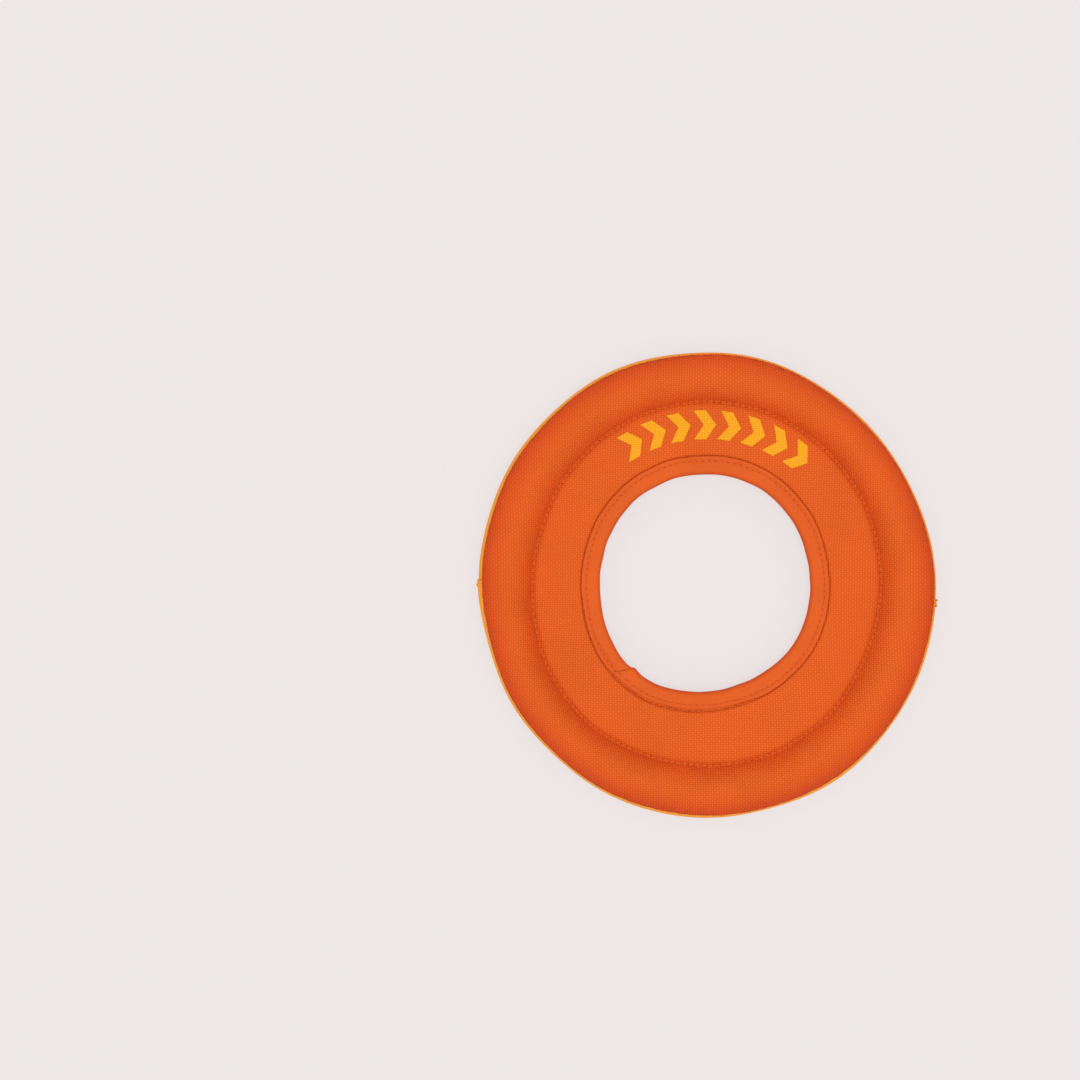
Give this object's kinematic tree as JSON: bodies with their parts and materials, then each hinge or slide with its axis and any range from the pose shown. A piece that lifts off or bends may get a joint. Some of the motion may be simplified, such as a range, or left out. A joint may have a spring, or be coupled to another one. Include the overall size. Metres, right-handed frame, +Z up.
{
  "type": "soft throwing ring",
  "caption": "Soft sewn ring for throwing and fetching: a puffed foam rim, a thin quilted web and a taped round hole to grip.",
  "frame": {"origin": "centre of the ring on the surface that it rests on, at the bottom of its bounding box", "axes": "+Z up along the ring's axis, +Y towards the printed row, +X to the right of the print as it is read from above"},
  "size_m": [0.2294, 0.2286, 0.0206],
  "materials": {
    "cover_cloth": "coarse plain-weave synthetic cloth, slight sheen",
    "gusset_cloth": "smooth close-woven cloth",
    "binding_tape": "smooth fine-ribbed tape, slight sheen",
    "foam": "closed-cell foam, matt",
    "orange_thread": "twisted polyester thread, satin",
    "yellow_thread": "twisted polyester thread, satin",
    "print_ink": "thin screen-print ink, satin"
  },
  "bodies": {
    "root": {"top_panel": "cover_cloth", "bottom_panel": "cover_cloth", "gusset_half_a": "gusset_cloth", "gusset_half_b": "gusset_cloth", "inner_binding": "binding_tape", "rim_foam": "foam", "web_foam": "foam", "quilt_needle_thread": "orange_thread", "quilt_bobbin_thread": "orange_thread", "binding_needle_thread": "orange_thread", "binding_bobbin_thread": "orange_thread", "rim_seam_thread_top": "orange_thread", "rim_seam_thread_bottom": "orange_thread", "gusset_join_thread_left": "yellow_thread", "gusset_join_thread_right": "yellow_thread", "printed_mark": "print_ink"}
  },
  "joints": []
}
